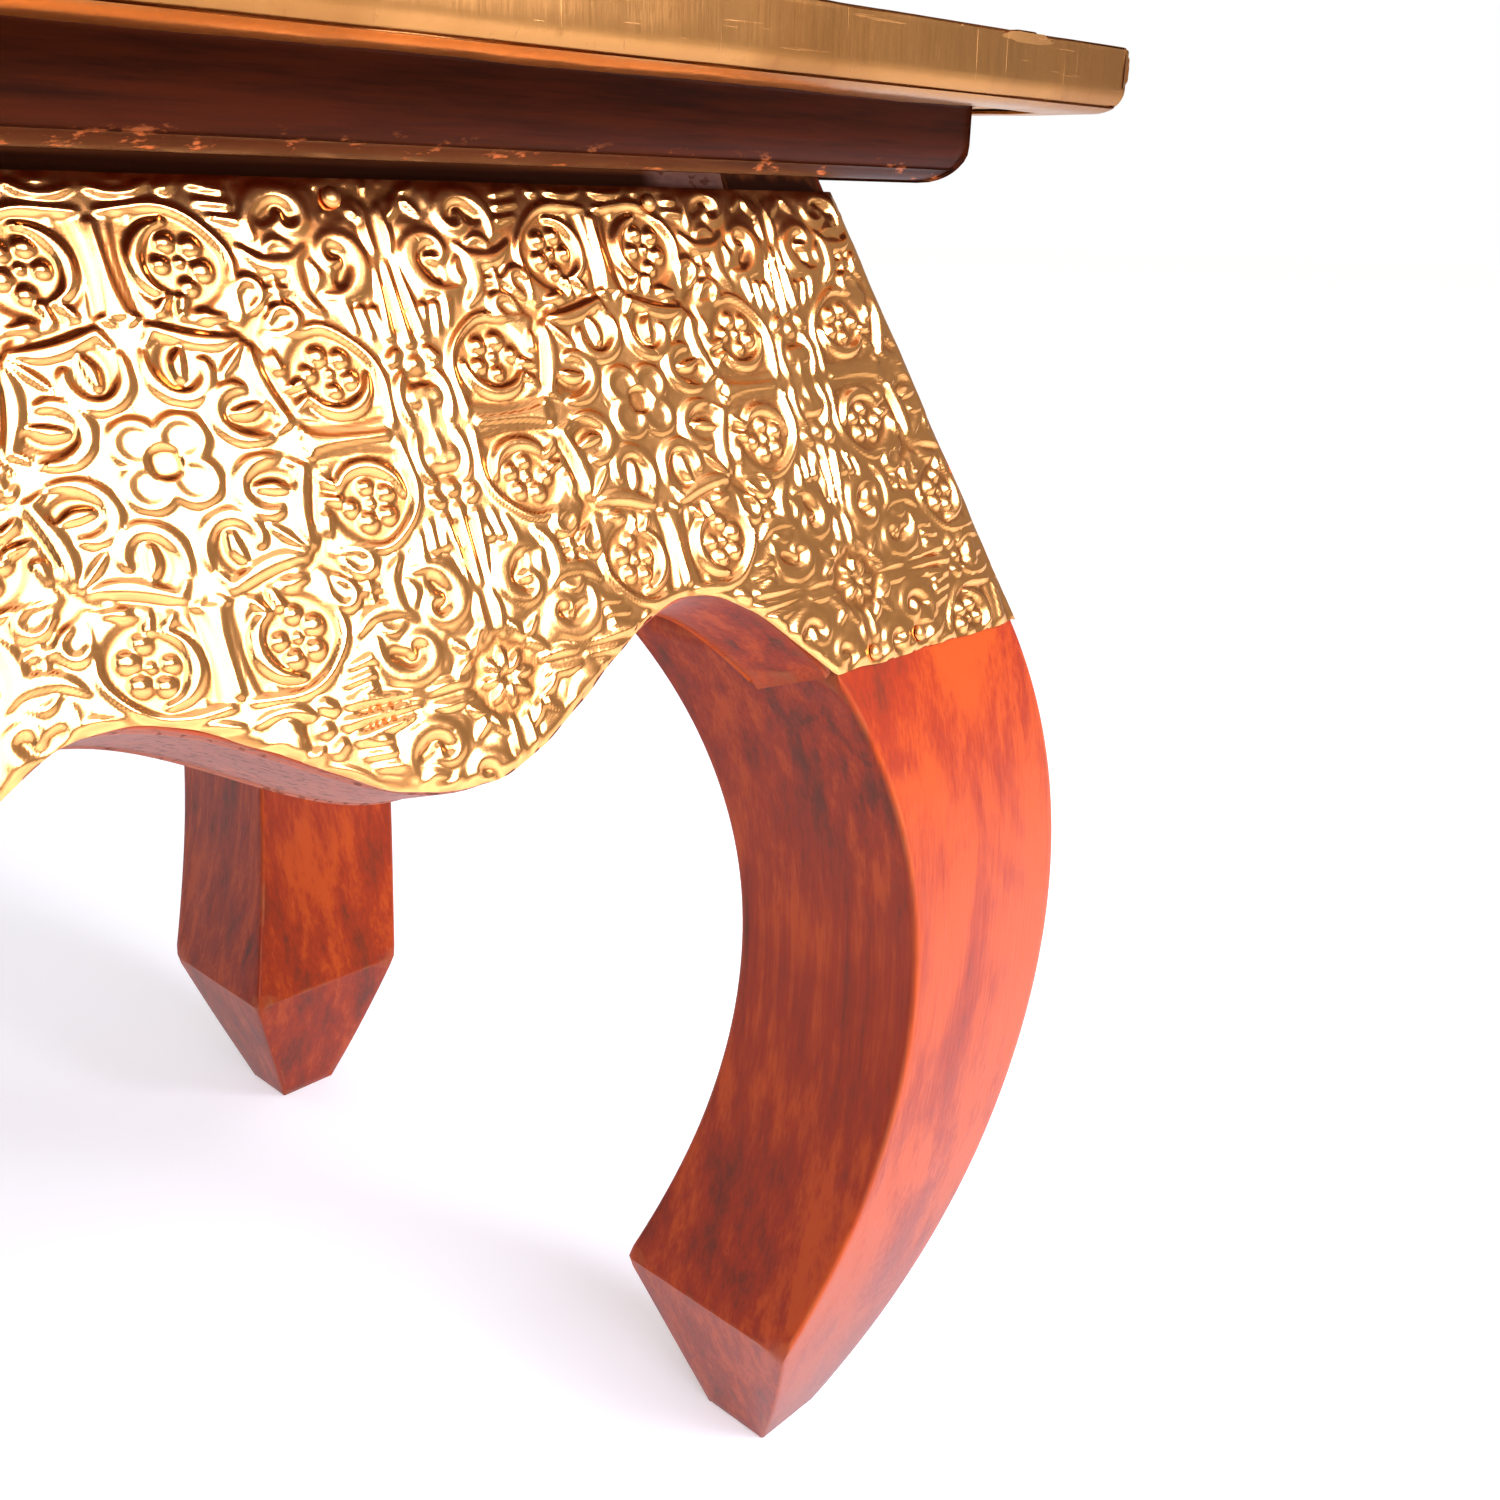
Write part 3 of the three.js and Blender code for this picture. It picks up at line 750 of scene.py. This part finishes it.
class TABLE_OT_top_skin(bpy.types.Operator):
    """Brass skin folded round the top board"""
    bl_idname = "table.top_skin"
    bl_label = "Brass top"

    def execute(self, context):
        thick = TOP_HIGH - TOP_LOW
        near = np.array([0, 0.35, 0.9, 1.6, 2.4, 3.3, 4.2, 5.5, 7.5, 9.5, 11.5]) * MM / (2 * TOP_HALF)
        inner = np.linspace(near[-1], 1 - near[-1], 110)[1:-1]
        across = np.concatenate([near, inner, 1 - near[::-1]])
        up = np.array([0, 0.8, 1.7, 2.6, 3.5, 4.4, 6, 8, 9.5, 10.4, 10.9, 11.3, 11.7]) / 11.7
        bm = lattice(across, across, up)
        for vert in bm.verts:
            vert.co = self.shaped(vert.co, thick)
        soften(bm, 0.8 * MM, 3, 50)
        self.cut_lip(bm)
        self.dent(bm)
        bmesh.ops.recalc_face_normals(bm, faces=bm.faces)
        piece = add_piece("brass_top", bm, "polished_brass", ["top_brass_skin"], 0, 50)
        shell = piece.modifiers.new("wall", "SOLIDIFY")
        shell.thickness = BRASS_WALL
        shell.offset = -1
        return {"FINISHED"}

    def shaped(self, unit, thick):
        """Rounds the slab's long edges, the lower ones much more than the upper."""
        x, y, z = (unit.x - 0.5) * 2 * TOP_HALF, (unit.y - 0.5) * 2 * TOP_HALF, unit.z * thick
        reach = max(abs(x), abs(y))
        radius, centre = TOP_LOWER_ROUND, TOP_LOWER_ROUND
        if z >= thick / 2:
            radius, centre = TOP_UPPER_ROUND, thick - TOP_UPPER_ROUND
        flat = TOP_HALF - radius
        beyond = reach - flat
        rest = (z - centre) if (z < centre) == (centre < thick / 2) else 0
        if beyond > 0 and rest:
            grown = radius / math.hypot(beyond, rest)
            z = centre + rest * grown
            x *= (flat + beyond * grown) / reach
            y *= (flat + beyond * grown) / reach
        return Vector((x, y, TOP_LOW + z))

    def cut_lip(self, bm):
        """Opens the underside inside the folded lip, whose cut edge wanders a little."""
        middles = [(face, face.calc_center_median()) for face in bm.faces]
        hidden = [face for face, middle in middles if middle.z < TOP_LOW + 0.1 * MM
                  and max(abs(middle.x), abs(middle.y)) < LIP_END]
        bmesh.ops.delete(bm, geom=hidden, context="FACES")
        for vert in bm.verts:
            if any(e.is_boundary for e in vert.link_edges):
                pull = 1 + 0.011 * noise.noise(vert.co * 45) + 0.006 * noise.noise(vert.co * 160)
                vert.co.x *= pull
                vert.co.y *= pull

    def dent(self, bm):
        """Shallow dents and creases, kept from rising above the top's height."""
        bm.normal_update()
        deep = sizes().dents
        moves = []
        for vert in bm.verts:
            at = vert.co
            wave = noise.noise(at * 38) + 0.45 * noise.noise(at * 110 + Vector((5, 0, 0)))
            crease = noise.noise(Vector((at.x * 60, at.y * 60, at.z * 4)))
            moves.append(vert.normal * deep * (wave + 0.5 * crease))
        for vert, move in zip(bm.verts, moves):
            vert.co += move - Vector((0, 0, max(0, vert.co.z + move.z - TOP_HIGH)))


class TABLE_OT_frame_rails(bpy.types.Operator):
    """Dark moulded rails, mitred at the corners"""
    bl_idname = "table.frame_rails"
    bl_label = "Moulded frame"

    def execute(self, context):
        deep = RAIL_HALF - RAIL_INNER
        thick = RAIL_HIGH - RAIL_LOW
        outer = 1 - np.array([0, 0.5, 1.2, 2.2, 3.4, 4.8, 6.4, 9, 16, 30]) * MM / deep
        up = np.array([0, 0.5, 1.2, 2.2, 3.4, 4.8, 6.4, 8.5, 11.5, 12.6, 13.2]) * MM / thick
        for turns, side in enumerate(SIDES):
            bm = lattice(np.linspace(0, 1, 150), np.concatenate([[0], outer[::-1]]), up / up[-1])
            for vert in bm.verts:
                vert.co = self.shaped(vert.co, deep, thick, turns)
            soften(bm, 0.5 * MM, 2, 50)
            mark_grain(bm, (0, 1, 2), Vector((turns * 0.7, 0, 0)))
            self.chip(bm, turns)
            bm.normal_update()
            # dark: painted shade on the moulding's underside
            mark(bm, "dark", lambda vert: -vert.normal.z * 5 - 4)
            bmesh.ops.recalc_face_normals(bm, faces=bm.faces)
            add_piece(f"moulding_{side}", bm, "dark_wood", [f"frame_rail_{side}"], turns)
        return {"FINISHED"}

    def shaped(self, unit, deep, thick, seed):
        """A mitred bar with its lower outer edge rounded and its face a little uneven."""
        reach = RAIL_INNER + unit.y * deep
        z = unit.z * thick
        beyond, below = reach - (RAIL_HALF - RAIL_ROUND), RAIL_ROUND - z
        if beyond > 0 and below > 0:
            length = math.hypot(beyond, below)
            reach = RAIL_HALF - RAIL_ROUND + beyond * RAIL_ROUND / length
            z = RAIL_ROUND - below * RAIL_ROUND / length
        along = (unit.x * 2 - 1) * (reach - MITRE_GAP)
        sway = 0.12 * MM * noise.noise(Vector((along * 18, seed * 3.1, z * 40)))
        return Vector((along, -(reach + sway), RAIL_LOW + z))

    def chip(self, bm, seed):
        """Small chips and rubbed places along the rounded lower edge."""
        layer = bm.verts.layers.float.new("worn")
        for vert in bm.verts:
            up = (vert.co.z - RAIL_LOW) / (3.2 * MM)
            back = (RAIL_HALF + vert.co.y) / (6 * MM)
            if 0.03 < up < 1 and back < 1:
                vert[layer] = 1 - up ** 2
                nick = noise.noise(Vector((vert.co.x * 130, seed * 7.7, vert.co.z * 260)))
                vert.co.y += 0.3 * MM * max(0, nick - 0.2) * vert[layer]


class TABLE_OT_legs(bpy.types.Operator):
    """Curved corner legs"""
    bl_idname = "table.legs"
    bl_label = "Legs"

    def execute(self, context):
        heights = np.concatenate([[0, 1.2 * MM], np.linspace(3 * MM, HEEL_HEIGHT, 14),
                                  np.linspace(HEEL_HEIGHT, ARCH_END, 56)[1:],
                                  np.linspace(ARCH_END, RAIL_LOW - 4.6 * MM, 12)[1:],
                                  [RAIL_LOW - 3.8 * MM, RAIL_LOW]])
        cuts = np.array([0, 0.05, 0.18, 0.34, 0.5, 0.66, 0.82, 0.95, 1])
        for turns, corner in enumerate(CORNERS):
            bm = lattice(cuts, cuts, heights / RAIL_LOW)
            for vert in bm.verts:
                z = vert.co.z * RAIL_LOW
                inner, outer = float(leg_inner(z)), float(leg_outer(z))
                wide = outer - inner
                vert.co = Vector((inner + wide * vert.co.x, -(outer - wide * vert.co.y), z))
            soften(bm, sizes().edge, 3, 40, lambda e: min(v.co.z for v in e.verts) < RAIL_LOW - 1 * MM)
            mark_grain(bm, (2, 0, 1), Vector((turns * 0.9, turns * 0.31, 0)))
            mark_worn(bm)
            # dark: painted shade on the inward faces and under the frame, with uneven stain in it
            mark(bm, "dark", self.depth)
            # foot: painted shade towards the floor
            mark(bm, "foot", self.foot)
            for vert in bm.verts:
                vert.co += 0.12 * MM * noise.noise(vert.co * 30 + Vector((turns * 5, 0, 0))) * vert.normal
            bmesh.ops.recalc_face_normals(bm, faces=bm.faces)
            add_piece(f"carved_leg_{corner}", bm, "stained_wood", [f"leg_{corner}"], turns)
        return {"FINISHED"}

    def depth(self, vert):
        """The two inward faces are darker, a painted shade with uneven stain in it, darker still by the
        arch; the strip just under the frame is near black, a painted shade with dark stain in it; the sole
        is darker too.
        """
        inward = max(0.0, -vert.normal.x, vert.normal.y)
        by_arch = math.exp(-((vert.co.z - 185 * MM) / (16 * MM)) ** 2)
        under = 1.0 if vert.co.z > RAIL_LOW - 4 * MM else 0.0
        sole = 0.85 * max(0.0, 1 - vert.co.z / (3 * MM))
        return max(under, sole, inward * (0.42 + 0.35 * by_arch + 0.25 * noise.noise(vert.co * 28)))

    def foot(self, vert):
        """Painted shade: the two outward faces darken towards the floor."""
        inward = max(0.0, -vert.normal.x, vert.normal.y)
        return (1 - vert.co.z / (80 * MM)) * (1 - inward)


class TABLE_OT_aprons(bpy.types.Operator):
    """Leaning apron boards with their arched lower edges"""
    bl_idname = "table.aprons"
    bl_label = "Aprons"

    def execute(self, context):
        for turns, side in enumerate(SIDES):
            bm = lattice(np.linspace(0, 1, 84), np.array([0, 0.06, 0.5, 0.94, 1]),
                         np.array([0, 0.02, 0.2, 0.5, 0.8, 0.94, 0.955, 1]))
            for vert in bm.verts:
                x = (vert.co.x * 2 - 1) * APRON_END
                out = -APRON_THICK * vert.co.y
                top, foot = out * TAN, float(arch_down(x))
                vert.co = Vector(on_face(x, foot + (top - foot) * vert.co.z, out))
            soften(bm, 0.9 * MM, 3, 60, lambda e: max(v.co.z for v in e.verts) < RAIL_LOW - 40 * MM)
            mark_grain(bm, (0, 2, 1), Vector((turns * 0.8 + 5, 0, 0)))
            mark_worn(bm, 14)
            # dark: uneven stain, with painted shade in the strip under the frame
            mark(bm, "dark", self.depth)
            mark(bm, "sawn", self.sawn)
            bmesh.ops.recalc_face_normals(bm, faces=bm.faces)
            add_piece(f"apron_board_{side}", bm, "stained_wood", [f"apron_{side}"], turns)
        return {"FINISHED"}

    def depth(self, vert):
        """Uneven stain, darker towards the legs, and near black in the strip above the brass, a painted
        shade under the frame with dark stain in it.
        """
        under = 1.0 if vert.co.z > RAIL_LOW - 4.2 * MM else 0.0
        by_leg = math.exp(-((abs(vert.co.x) - APRON_END) / (14 * MM)) ** 2)
        return max(under, 0.3 + 0.3 * by_leg + 0.5 * noise.noise(vert.co * 40))

    def sawn(self, vert):
        """Rough saw marks on the lower edge, smoothed off towards the legs."""
        return (-vert.normal.z * 3 - 1) * (1 - max(0.0, abs(vert.co.x) - 50 * MM) / (12 * MM))


class TABLE_OT_pins(bpy.types.Operator):
    """Domed brass pins through the sheets"""
    bl_idname = "table.pins"
    bl_label = "Brass pins"

    def execute(self, context):
        # half of a pin's outline in mm, from its point to the crown of its head: (radius, height)
        profile = ((0, -9.4), (0.45, -8.6), (0.5, 0.3), (1.35, 0.3), (1.55, 0.42), (1.42, 0.78),
                   (1.05, 1.08), (0.55, 1.22), (0, 1.26))
        for turns, side in enumerate(SIDES):
            for index, (x, down) in enumerate(PINS):
                bm = bmesh.new()
                verts = [bm.verts.new((r * MM, 0, z * MM)) for r, z in profile]
                edges = [bm.edges.new(pair) for pair in zip(verts[:-1], verts[1:])]
                bmesh.ops.spin(bm, geom=verts + edges, cent=(0, 0, 0), axis=(0, 0, 1), dvec=(0, 0, 0),
                               angle=math.tau, steps=20, use_merge=True)
                bmesh.ops.remove_doubles(bm, verts=bm.verts, dist=1e-6)
                bmesh.ops.recalc_face_normals(bm, faces=bm.faces)
                tilt = Matrix.Rotation(0.09 * math.sin(3 * index + turns), 4, "Y")
                seat = Matrix.Translation(on_face(x * MM, down * MM, SHEET_FRONT - 0.15 * MM))
                bm.transform(seat @ Matrix.Rotation(math.pi / 2 - LEAN, 4, "X") @ tilt)
                label = f"{side}_{index + 1}"
                add_piece(f"pin_head_{label}", bm, "brass_pin", [f"pin_{label}"], turns, 50)
        return {"FINISHED"}


class TABLE_OT_inner_parts(bpy.types.Operator):
    """Finishes for the board, battens and screws inside"""
    bl_idname = "table.inner_parts"
    bl_label = "Inner parts"

    def execute(self, context):
        for name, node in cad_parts.items():
            if name == "top_board" or name.startswith("batten_"):
                self.dress(node, "plain_wood")
            elif name.startswith("screw_"):
                self.dress(node, "steel_screw")
        return {"FINISHED"}

    def dress(self, node, slot):
        for place in node.material_slots:
            place.material = finish_of(slot)


class TABLE_OT_stage(bpy.types.Operator):
    """Camera, lights, pale floor and surroundings"""
    bl_idname = "table.stage"
    bl_label = "Stage"

    def execute(self, context):
        scene = context.scene
        scene.view_settings.view_transform = "Standard"
        self.camera(scene)
        self.floor(scene)
        self.surroundings(scene)
        self.softbox("window", (-0.06, -1.08, 0.78), (0, -0.1, 0.24), 1.3, 0.75, 19)
        self.softbox("lamp", (0.35, -0.92, 0.70), (-0.03, -0.12, 0.25), 0.36, 0.42, 8)
        self.softbox("overhead", (0.5, -0.3, 1.6), (0, 0, 0), 1.5, 1.5, 7)
        self.softbox("behind", (-1.1, 1.3, 1.5), (0, 0, 0.31), 2.0, 1.6, 11)
        return {"FINISHED"}

    def camera(self, scene):
        camera = bpy.data.cameras.new("camera")
        camera.lens, camera.sensor_width = 37.3, 36
        camera.clip_start = 0.01
        viewer = bpy.data.objects.new("camera", camera)
        turn = (Matrix.Rotation(math.radians(-47.87), 4, "Z") @ Matrix.Rotation(math.radians(70.06), 4, "X")
                @ Matrix.Rotation(math.radians(1.72), 4, "Z"))
        viewer.matrix_world = Matrix.Translation((-0.1290, -0.3094, 0.2861)) @ turn
        scene.collection.objects.link(viewer)
        scene.camera = viewer

    def floor(self, scene):
        bm = bmesh.new()
        bmesh.ops.create_circle(bm, cap_ends=True, segments=96, radius=9)
        mesh = bpy.data.meshes.new("floor")
        bm.to_mesh(mesh)
        bm.free()
        finish = Finish("floor", Roughness=0.8, Emission_Strength=1, Specular_IOR_Level=0.1)
        at = finish.place()
        away = finish.node("ShaderNodeVectorMath", {"operation": "LENGTH"}, {0: at}, output=1)
        glow = finish.mix(away.between(0.3, 1.6), grey(0.40), grey(0.78))
        paint = finish.mix(finish.noise(at, 3, 2) * 0.2, grey(0.80), grey(0.77))
        mesh.materials.append(finish.surface(Emission_Color=glow, Base_Color=paint))
        floor = bpy.data.objects.new("floor", mesh)
        scene.collection.objects.link(floor)

    def surroundings(self, scene):
        """White to the camera; in reflections dim at the back left, brighter at the front right."""
        world = bpy.data.worlds.new("studio")
        world.use_nodes = True
        scene.world = world
        nodes = Nodes(world.node_tree)
        ahead = nodes.node("ShaderNodeVectorMath", {"operation": "DOT_PRODUCT"},
                           {0: nodes.place("Generated"), 1: (0.8, -0.45, 0.5)}, output="Value")
        spread = nodes.node("ShaderNodeMapRange", inputs={"Value": ahead, "From Min": -0.6, "From Max": 0.7})
        room = nodes.mix(spread, (0.15, 0.145, 0.14, 1), (0.38, 0.35, 0.32, 1))
        seen = nodes.node("ShaderNodeLightPath", output="Is Camera Ray")
        nodes.feed(world.node_tree.nodes["Background"].inputs["Color"], nodes.mix(seen, room, grey(1)))

    def softbox(self, name, place, aim, wide, high, power):
        """A rectangular lamp, its power in watts."""
        lamp = bpy.data.lights.new(name, "AREA")
        lamp.shape = "RECTANGLE"
        lamp.size, lamp.size_y = wide, high
        lamp.energy = power
        lamp.color = (0.95, 0.98, 1.2)
        box = bpy.data.objects.new(name, lamp)
        box.matrix_world = Matrix.Translation(place) @ (
            Vector(aim) - Vector(place)).to_track_quat("-Z", "Y").to_matrix().to_4x4()
        bpy.context.scene.collection.objects.link(box)


class TABLE_PT_panel(bpy.types.Panel):
    """Steps that build the table"""
    bl_idname = "TABLE_PT_panel"
    bl_label = "Brass-clad table"
    bl_space_type = "VIEW_3D"
    bl_region_type = "UI"
    bl_category = "Table"

    def draw(self, context):
        for group in (context.scene.table_sizes, context.scene.table_colours):
            for name in group.__annotations__:
                self.layout.prop(group, name)
        for step in STEPS:
            self.layout.operator(step.bl_idname)


STEPS = (TABLE_OT_stage, TABLE_OT_top_skin, TABLE_OT_frame_rails, TABLE_OT_legs, TABLE_OT_aprons,
         TABLE_OT_brass_sheets, TABLE_OT_pins, TABLE_OT_inner_parts)
CLASSES = (TableSizes, TableColours, *STEPS, TABLE_PT_panel)


def register():
    for item in CLASSES:
        bpy.utils.register_class(item)
    bpy.types.Scene.table_sizes = bpy.props.PointerProperty(type=TableSizes)
    bpy.types.Scene.table_colours = bpy.props.PointerProperty(type=TableColours)


def unregister():
    del bpy.types.Scene.table_colours
    del bpy.types.Scene.table_sizes
    for item in reversed(CLASSES):
        bpy.utils.unregister_class(item)


def main():
    register()
    for step in STEPS:
        group, name = step.bl_idname.split(".")
        getattr(getattr(bpy.ops, group), name)()
    bpy.context.view_layer.update()


if __name__ == "__main__":
    main()
